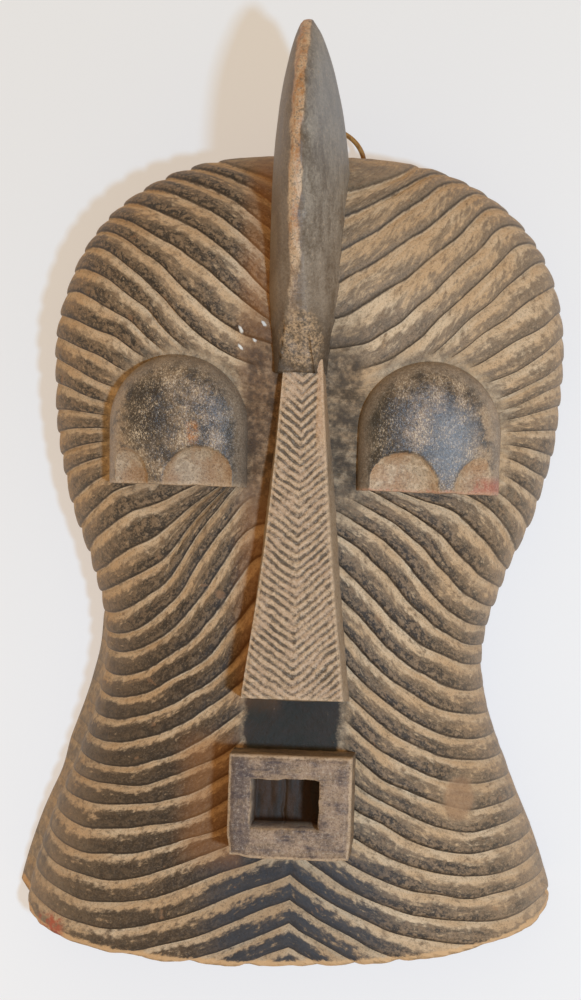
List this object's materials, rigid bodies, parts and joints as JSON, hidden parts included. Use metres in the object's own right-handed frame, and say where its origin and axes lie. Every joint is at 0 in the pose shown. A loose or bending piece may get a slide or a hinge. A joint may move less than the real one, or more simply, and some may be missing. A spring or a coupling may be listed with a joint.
{
  "type": "carved face mask",
  "caption": "Long hollow-backed wooden face mask with fluted cheeks, hooded eyes, a wedge nose, a box mouth and a tall curved crest, with a cane hanging loop.",
  "frame": {"origin": "middle of the overall box at its base, on the plane the mask's back rim lies on", "axes": "+X across the face towards the right of the picture, +Y from the chin to the crown, +Z out of the face"},
  "size_m": [0.3168, 0.533, 0.1689],
  "materials": {
    "carved wood": "dry carved wood, dark on the flute crowns and clay-coloured in the grooves",
    "cane": "smooth amber-brown cane"
  },
  "bodies": {
    "root": {"mask": "carved wood", "hanging_loop": "cane"}
  },
  "joints": []
}
